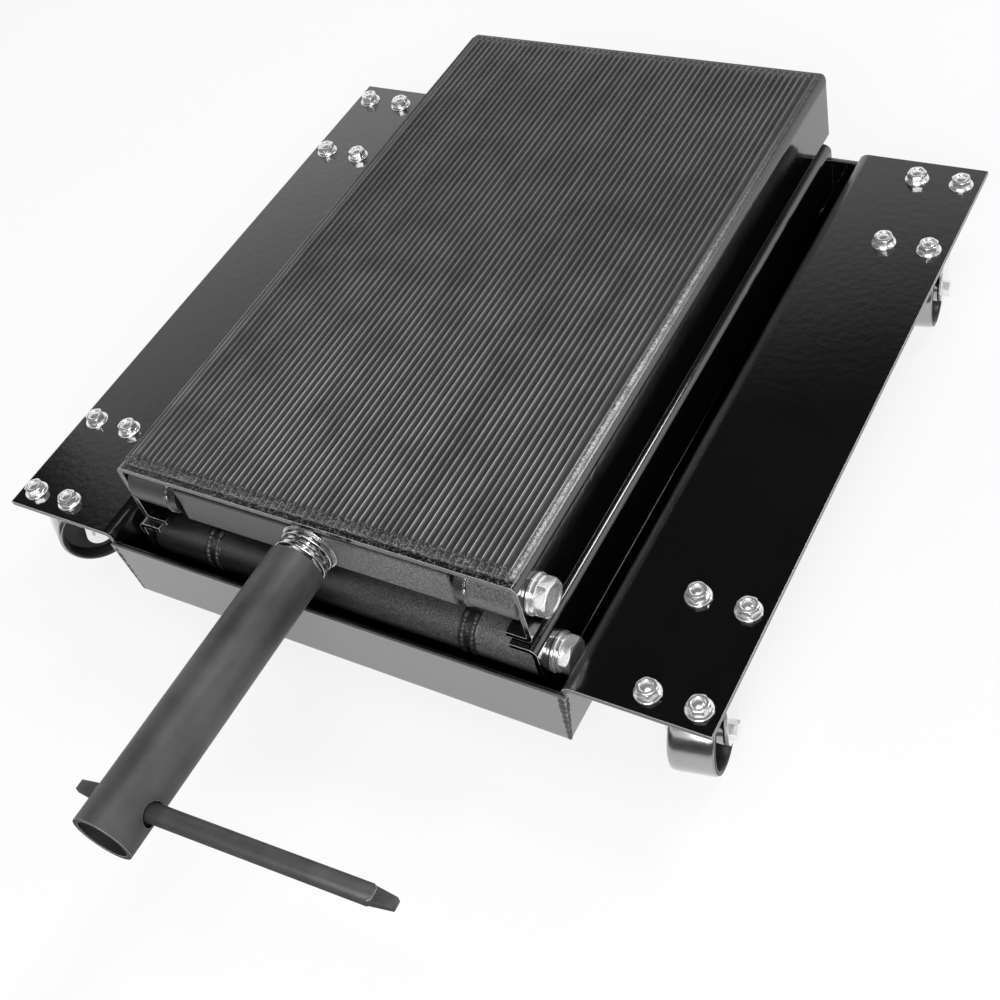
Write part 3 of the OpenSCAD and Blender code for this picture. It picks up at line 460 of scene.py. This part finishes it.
def turned(name, rings, steps=48, hollow=False):
    """Shape turned about Z through rings of (radius, height)."""
    clear()
    radius, height = rings[0]
    bpy.ops.mesh.primitive_circle_add(
        vertices=steps, radius=radius * MM, location=(0, 0, height * MM),
        fill_type="NOTHING" if hollow else "NGON")
    obj = settle(named(name))
    bpy.ops.object.mode_set(mode="EDIT")
    bpy.ops.mesh.select_all(action="SELECT")
    for (r0, h0), (r1, h1) in zip(rings, rings[1:]):
        bpy.ops.mesh.extrude_region_move(
            TRANSFORM_OT_translate={"value": (0, 0, (h1 - h0) * MM)})
        bpy.ops.transform.resize(value=(r1 / r0, r1 / r0, 1), center_override=(0, 0, 0))
    bpy.ops.mesh.select_all(action="SELECT")
    if hollow:
        bpy.ops.mesh.remove_doubles(threshold=MERGE * MM)
    bpy.ops.mesh.normals_make_consistent(inside=False)
    bpy.ops.object.mode_set(mode="OBJECT")
    return obj


def hexagon(name, flats, bottom, top, cap_rings, edge=0.3):
    """Hexagon prism cut to a turned cap, with its edges eased."""
    corner = flats / 2 / math.cos(math.radians(30))
    prism = turned(name, [(corner, bottom), (corner, top)], steps=6)
    finish_with(prism, "BEVEL", width=edge * MM, segments=2, limit_method="ANGLE")
    return cut(prism, "INTERSECT", turned("cap", [(corner * 1.1, bottom - 1), *cap_rings]))


def sealed(obj):
    """Merges doubles, closes open rims and turns the faces outwards."""
    only(obj)
    bpy.ops.object.mode_set(mode="EDIT")
    bpy.ops.mesh.select_all(action="SELECT")
    bpy.ops.mesh.remove_doubles(threshold=MERGE * MM)
    bpy.ops.mesh.select_all(action="DESELECT")
    bpy.ops.mesh.select_mode(type="EDGE")
    bpy.ops.mesh.select_non_manifold(extend=False)
    bpy.ops.mesh.fill(use_beauty=False)
    bpy.ops.mesh.select_all(action="SELECT")
    bpy.ops.mesh.normals_make_consistent(inside=False)
    bpy.ops.object.mode_set(mode="OBJECT")


def thread(name, root, crest, pitch, turns):
    """Trapezoid thread about Z, rising from Z = 0 by whole turns."""
    clear()
    bpy.ops.mesh.primitive_plane_add(size=MM, location=(root * MM, 0, 0))
    band = settle(named(name))
    bpy.ops.object.mode_set(mode="EDIT")
    bpy.ops.mesh.select_all(action="SELECT")
    bpy.ops.mesh.merge(type="CENTER")
    steps, deep = 24, crest - root
    for out, rise in ((0, 0.25), (deep, 0.13), (0, 0.37), (-deep, 0.13), (0, 0.12)):
        bpy.ops.mesh.extrude_vertices_move(
            TRANSFORM_OT_translate={"value": (out * MM, 0, rise * pitch * MM)})
    bpy.ops.object.mode_set(mode="OBJECT")
    finish_with(band, "SCREW", axis="Z", screw_offset=pitch * MM, iterations=turns, steps=steps,
                render_steps=steps, use_normal_calculate=True)
    sealed(band)
    bpy.ops.object.mode_set(mode="EDIT")
    bpy.ops.mesh.flip_normals()
    bpy.ops.object.mode_set(mode="OBJECT")
    return band


def stand(obj, at, up=(0, 0, 1), spin=0.0):
    """Moves a shape drawn about Z to a place, with its Z along up, after a spin in degrees."""
    turn = Vector((0, 0, 1)).rotation_difference(Vector(up)).to_matrix().to_4x4()
    turn = turn @ Matrix.Rotation(math.radians(spin), 4, "Z")
    obj.matrix_world = Matrix.Translation(Vector(at) * MM) @ turn
    settle(obj)


def copied(obj, name):
    """A copy of an object with its own mesh."""
    twin = obj.copy()
    twin.data = obj.data.copy()
    twin.name = twin.data.name = name
    bpy.context.scene.collection.objects.link(twin)
    return twin


def joined(name, objs):
    """One object from several."""
    clear()
    for obj in objs:
        obj.select_set(True)
    bpy.context.view_layer.objects.active = objs[0]
    bpy.ops.object.join()
    return named(name)


def dress(obj, finish, body, stands_for=None, smooth=40):
    """Gives a finished piece its finish and its body, and hides the node that it stands for."""
    only(obj)
    bpy.ops.object.shade_smooth_by_angle(angle=math.radians(smooth))
    obj.data.materials.clear()
    obj.data.materials.append(FINISHES[finish])
    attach(obj, body)
    if stands_for:
        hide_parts(stands_for)


def weld(name, points, body, width, start=1.0):
    """Bead of uneven, overlapping ripples along points.

    start is its first ripple's share of the width.
    """
    step, proud = 1.9, 0.6
    path = [Vector(p) for p in points]
    spots = []
    for a, b in zip(path, path[1:]):
        count = max(1, round((b - a).length / step))
        spots += [(a.lerp(b, i / count), (b - a).normalized()) for i in range(count)]
    ripples = []
    for i, (spot, along) in enumerate(spots):
        clear()
        bpy.ops.mesh.primitive_uv_sphere_add(segments=12, ring_count=8, radius=width / 2 * MM)
        ripple = bpy.context.object
        swell = 1 + 0.09 * math.sin(i * 2.4) + 0.05 * math.sin(i * 0.9)
        swell *= start + (1 - start) * i / len(spots)
        turn = along.to_track_quat("Z", "Y").to_matrix().to_4x4()
        ripple.matrix_world = (Matrix.Translation(spot * MM) @ turn
                               @ Matrix.Diagonal((swell, swell, proud, 1)))
        ripples.append(ripple)
    bead = settle(joined(name, ripples))
    finish_with(bead, "REMESH", mode="VOXEL", voxel_size=WELD_VOXEL * MM)
    finish_with(bead, "SMOOTH", factor=0.5, iterations=2)
    dress(bead, "weld_coat", body, smooth=180)


# Places of the frame, in millimetres
def corners(node):
    """Lowest and highest corner of a node's box."""
    low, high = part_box(node)
    return low / MM, high / MM


def middle(node):
    """Middle of a node's box."""
    low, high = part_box(node)
    return (low + high) / 2 / MM


def axis_of(name):
    """Direction of a joint's axis."""
    return next(joint["axis"] for joint in frame["joints"] if joint["name"] == name)


FORWARD = (0, -1, 0)
CORNERS = ("front_left", "front_right", "back_left", "back_right")
SIDES = ((-1, "left"), (1, "right"))
PIVOT_Y, LOW_Z = middle("lower_pivot_shaft").yz
HIGH_Z = middle("bearing_race_rear").z


# Pieces, drawn in millimetres
def lead_screw():
    """Screw with its thread behind the beam, a plain neck, and a hexagon in the wrench's socket."""
    low, high = corners("lead_screw")
    neck, root, pitch, flats = 8.5, 6.9, 3.0, 21.0
    front, shoulder, thread_front, back = -low.y, 125.2, 96.0, high.y
    core = turned("lead_screw_threaded", [
        (root - 1, 1 - back), (root + 0.1, 3 - back), (root + 0.1, thread_front - 1.5),
        (neck, thread_front), (neck, shoulder)])
    stand(core, (0, 0, HIGH_Z), FORWARD)
    head = hexagon("hexagon_end", flats, shoulder - 0.01, front, [
        (flats * 0.56, front - 2.2), (flats * 0.5, front - 0.6), (flats * 0.46, front)])
    stand(head, (0, 0, HIGH_Z), FORWARD)
    band = thread("thread", root, neck - 0.05, pitch, int((back + thread_front) / pitch))
    stand(band, (0, back, HIGH_Z), FORWARD)
    dress(joined("lead_screw_threaded", [core, head, band]), "polished_steel", "screw",
          "lead_screw")


def flange_bolts():
    """Flange bolts of the casters: eased hexagons, dished tops, a turn of thread below the nut."""
    flats, core, crest = 10.0, 2.62, 2.98
    half_x, half_y = 13.15, 29.5
    spins = (12, 40, 55, 3, 27, 49, 8, 33, 20, 58, 44, 15, 36, 5, 51, 24)
    wing_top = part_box("dolly_pan")[1].z / MM
    end = corners("caster_bolts")[0].z - wing_top
    skirt = turned("skirt", [
        (6.85, 0), (7.0, 0.2), (7.0, 0.8), (6.75, 1.05), (5.4, 1.7), (3.0, 1.9)], steps=40)
    head = hexagon("flange_bolt", flats, 0.5, 5.6, [
        (5.95, 4.75), (5.55, 5.15), (5.0, 5.45), (4.3, 5.6), (3.7, 5.58), (3.4, 5.4),
        (3.15, 5.1), (2.8, 5.05), (2.2, 5.2), (1.4, 5.35), (0.4, 5.4)])
    shank = turned("shank", [
        (2.2, end), (2.7, end + 0.3), (crest, end + 0.6), (core, end + 0.95), (crest, end + 1.3),
        (crest, end + 1.5), (crest, 0.5)], steps=24)
    pattern = joined("flange_bolt", [head, skirt, shank])
    bolts = []
    for i, corner in enumerate(CORNERS):
        hub = middle("caster_plate_" + corner)
        for j, (x, y) in enumerate(((-1, -1), (1, -1), (-1, 1), (1, 1))):
            bolt = copied(pattern, "caster_bolt_%s_%d" % (corner, j + 1))
            stand(bolt, (hub.x + x * half_x, hub.y + y * half_y, wing_top), spin=spins[4 * i + j])
            bolts.append(bolt)
    bpy.data.objects.remove(pattern)
    dress(joined("caster_bolts_eased", bolts), "zinc", "dolly", "caster_bolts", smooth=15)


def pivot_bolts():
    """Dished hexagon heads outside the flanges, and a low dome for the upper left head."""
    tall, flats, spin = 6.0, 18.0, 41
    for level, body in (("upper", "deck"), ("lower", "dolly")):
        low, high = corners(level + "_pivot_bolts")
        head = hexagon("pivot_bolt", flats, 0, tall, [
            (flats * 0.575, tall - 1.5), (flats * 0.53, tall - 0.75), (flats * 0.475, tall - 0.12),
            (flats * 0.44, tall), (flats * 0.4, tall - 0.1), (flats * 0.34, tall - 0.7),
            (flats * 0.3, tall - 0.75), (flats * 0.02, tall - 0.75)], edge=0.4)
        dome = turned("dome_head", [
            (8.0, -0.05), (8.0, 0.2), (6.6, 1.0), (4.4, 1.8), (1.6, 2.3)], steps=40)
        twins = []
        for side, _ in SIDES:
            shank = turned("shank", [(6.0, -7.5), (6.0, 0.2)], steps=32)
            cap = dome if level == "upper" and side < 0 else head
            bolt = joined("%s_pivot_bolt_%d" % (level, side + 2), [copied(cap, "cap"), shank])
            stand(bolt, (side * (high.x - tall), PIVOT_Y, (low.z + high.z) / 2), (side, 0, 0),
                  spin)
            twins.append(bolt)
        for spare in (head, dome):
            bpy.data.objects.remove(spare)
        dress(joined(level + "_pivot_bolts_eased", twins), "zinc", body, level + "_pivot_bolts",
              smooth=15)


def pivot_washers():
    """Flat washers with rolled edges and split lock washers under the pivot heads."""
    flat_thick, lock_thick = 2.0, 2.5
    flat = turned("flat_washer", [
        (6.2, 0), (10.55, 0), (11.0, 0.4), (11.0, 1.6), (10.55, 2.0), (6.2, 2.0), (6.2, 0)],
        steps=64, hollow=True)
    lock = turned("lock_washer", [
        (6.3, 0.03), (9.75, 0.03), (10.2, 0.45), (10.2, 2.05), (9.75, 2.47), (6.3, 2.47),
        (6.3, 0.03)], steps=64, hollow=True)
    clear()
    bpy.ops.mesh.primitive_cube_add(
        size=MM, location=(8.5 * MM, 0, lock_thick / 2 * MM), scale=(8, 0.9, 6),
        rotation=(math.radians(28), 0, 0))
    cut(lock, "DIFFERENCE", settle(named("slit")))
    for level, body in (("upper", "deck"), ("lower", "dolly")):
        for kind, ring, thick in (("pivot", flat, flat_thick), ("lock", lock, lock_thick)):
            node = "%s_%s_washers" % (level, kind)
            low, high = corners(node)
            twins = []
            for side, _ in SIDES:
                washer = copied(ring, "%s_%d" % (node, side + 2))
                stand(washer, (side * (high.x - thick), PIVOT_Y, (low.z + high.z) / 2),
                      (side, 0, 0), 70 + side * 40)
                twins.append(washer)
            dress(joined(node + "_eased", twins), "zinc", body, node, smooth=30)
    for spare in (flat, lock):
        bpy.data.objects.remove(spare)


def tommy_bar():
    """Cross bar whose ends are drawn out behind a neck to narrow, tapering tangs."""
    radius, length, neck = 5.0, 173.0, 2.4
    thick, broad, tang_length = 4.8, 8.4, 13.0
    end = length / 2 - tang_length
    half = [(radius, end), (radius - 0.3, end + 0.5), (radius - 1.4, end + neck)]
    parts = [turned("rod", [(r, -z) for r, z in half[::-1]] + half)]
    for side, _ in SIDES:
        clear()
        bpy.ops.mesh.primitive_cube_add(
            size=MM, location=(0, 0, side * (end + tang_length / 2) * MM),
            scale=(thick, broad, tang_length))
        tang = settle(named("tang"))
        bpy.ops.object.mode_set(mode="EDIT")
        bpy.ops.mesh.select_mode(type="FACE")
        bpy.ops.mesh.select_all(action="DESELECT")
        bpy.ops.object.mode_set(mode="OBJECT")
        for face in tang.data.polygons:
            face.select = abs(face.center.z) > (end + tang_length * 0.9) * MM
        bpy.ops.object.mode_set(mode="EDIT")
        bpy.ops.transform.resize(value=(0.8, 0.64, 1), center_override=(0, 0, 0))
        bpy.ops.mesh.select_mode(type="VERT")
        bpy.ops.object.mode_set(mode="OBJECT")
        finish_with(tang, "BEVEL", width=0.5 * MM, segments=3, limit_method="ANGLE")
        parts.append(tang)
    bar = joined("tommy_bar_drawn", parts)
    stand(bar, middle("tommy_bar"), axis_of("bar_slide"))
    dress(bar, "oxide_steel", "bar", "tommy_bar")


def wheels():
    """Wheels with a rounded tread, a lip, a dished web and a hub."""
    radius, bore, hub_half = 24.0, 3.1, 12.4
    side = [
        (bore, hub_half), (7.4, hub_half), (7.9, 12.0), (8.2, 4.2), (9.2, 3.2), (19.6, 3.0),
        (20.4, 3.6), (20.7, 11.0), (21.2, 11.8), (22.2, 12.0), (23.2, 11.6), (23.75, 10.6),
        (radius, 8.4)]
    whole = [(r, -z) for r, z in side] + [(radius, 0)] + side[::-1] + [(bore, -hub_half)]
    for corner in CORNERS:
        hub = middle("caster_wheel_" + corner)
        wheel = turned("wheel_" + corner, whole, steps=96, hollow=True)
        stand(wheel, (hub.x, hub.y, radius), axis_of("roll_" + corner))
        dress(wheel, "wheel_black", "wheel_" + corner, "caster_wheel_" + corner, smooth=50)


def seam(name, body, x, z, first, last, sink):
    """Weld round a tube from one angle to another; sink(angle) is its depth below the surface."""
    radius, width, count = 14.7, 3.2, 24
    points = []
    for i in range(count + 1):
        degrees = first + (last - first) * i / count
        angle, reach = math.radians(degrees), radius - sink(degrees)
        points.append((x, PIVOT_Y - reach * math.cos(angle), z + reach * math.sin(angle)))
    weld(name, points, body, width)


def welds():
    """Beads round the tubes where the arms meet them, and up the corners of the pan."""
    outer_arm, inner_arm = 94.0, (80.0, 86.0)
    foot_x, foot_z, head_x, head_z = 142.8, 21, 146.8, 60
    for side, word in SIDES:
        seam("upper_tube_weld_" + word, "outer_arms", side * outer_arm, HIGH_Z, -70, 60,
             lambda degrees: 0.55 if degrees < 18 else 1.2)
        for n, x in enumerate(inner_arm):
            seam("lower_tube_weld_%s_%d" % (word, n + 1), "inner_arms", side * x, LOW_Z, -18, 85,
                 lambda degrees: 0.6)
        foot_sink, head_sink, width = (0.85, 2.1, 6.2) if side > 0 else (0.85, 2.3, 5.6)
        for end, y in (("front", -130.0), ("back", 287.0)):
            weld("pan_weld_%s_%s" % (end, word), [
                (side * (foot_x - foot_sink), y - math.copysign(foot_sink, y), foot_z),
                (side * (head_x - head_sink), y - math.copysign(head_sink, y), head_z)],
                "dolly", width, start=0.4)


lead_screw()
flange_bolts()
pivot_bolts()
pivot_washers()
tommy_bar()
wheels()
welds()


# Studio
def surround():
    """White world that mirrors a dark ceiling, a dark side and a dark band low in front.

    Its ramps run over the parts of a ray's direction, from -1 to 1.
    """
    world = bpy.data.worlds.new("studio")
    bpy.context.scene.world = world
    world.use_nodes = True
    sky = Nodes(world.node_tree)
    x, y, z = sky.parts(sky.node("TexCoord", take="Generated"))
    white = z.ramp(0.52, 0.61, 1.0, 0.55) * z.ramp(0.60, 0.72, 1.0, 0.04)
    turn = y.math("ARCTAN2", x)
    dark_side = turn.ramp(math.radians(150), math.radians(153)) * z.ramp(0.5, 0.6)
    dark_front = y.ramp(-0.3, -0.5) * z.ramp(0.42, 0.3)
    glow = white * (1.0 - dark_side.most(dark_front) * 0.9)
    seen = sky.ray("Camera").most(sky.ray("Transmission"))
    background = world.node_tree.nodes["Background"]
    sky.plug(background.inputs["Color"], 1.0)
    sky.plug(background.inputs["Strength"], glow.most(seen))


def pale_floor():
    """White floor that keeps the jack's shadow and mirrors darker in front of it."""
    clear()
    bpy.ops.mesh.primitive_plane_add(size=12.0, location=(0, 0, -0.0002))
    floor = bpy.context.object
    floor.name = "floor"
    ground = Finish("floor_white", Base_Color=0.95, Roughness=0.9)
    _, y, _ = ground.axes()
    ahead = y.ramp(-0.16, -0.36)
    glossy = ground.ray("Glossy")
    seen = ground.ray("Camera").most(ground.ray("Transmission"))
    glow = ground.node("Emission", sockets={
        "Color": ground.blend(ahead * glossy * 0.85, 1.0, 0.0), "Strength": 1.0})
    both = ground.node("MixShader", sockets={
        0: (seen * 0.8).most(glossy * (0.8 + ahead * 0.2)),
        1: Wire(ground, ground.shader.outputs[0]), 2: glow})
    ground.plug(ground.tree.nodes["Material Output"].inputs["Surface"], both)
    floor.data.materials.append(ground.material)


def lamp(name, place, aim, size, power):
    """Rectangular lamp at a place, turned to its aim; size in metres, power in watts."""
    light = bpy.data.lights.new(name, "AREA")
    light.shape, light.size, light.size_y, light.energy = "RECTANGLE", size[0], size[1], power
    holder = bpy.data.objects.new(name, light)
    bpy.context.scene.collection.objects.link(holder)
    holder.location = place
    holder.rotation_euler = (Vector(aim) - Vector(place)).to_track_quat("-Z", "Y").to_euler()


def camera():
    """Camera at the photograph's angle, solved from the straight edges of the jack."""
    right = Vector((0.8585, 0.4668, -0.2124))
    down = Vector((0.2392, -0.7308, -0.6394))
    ahead = Vector((-0.4537, 0.4981, -0.7390))
    turn = Matrix((right, -down, -ahead)).transposed().to_4x4()
    lens = bpy.data.cameras.new("camera")
    lens.lens, lens.sensor_width, lens.clip_start = 53.43, 36.0, 0.05
    eye = bpy.data.objects.new("camera", lens)
    bpy.context.scene.collection.objects.link(eye)
    eye.matrix_world = Matrix.Translation((0.4203, -0.4289, 0.6533)) @ turn
    bpy.context.scene.camera = eye


surround()
pale_floor()
lamp("overhead", (0.1, 0.0, 2.2), (0, 0, 0), (1.1, 1.1), 9)
lamp("front_softbox", (0.75, -1.7, 1.3), (0, -0.1, 0.05), (1.4, 0.9), 32)
lamp("back_softbox", (0.75, 1.25, 2.0), (0, 0.05, 0.08), (0.5, 0.5), 12)
camera()
bpy.context.scene.view_settings.view_transform = "Standard"
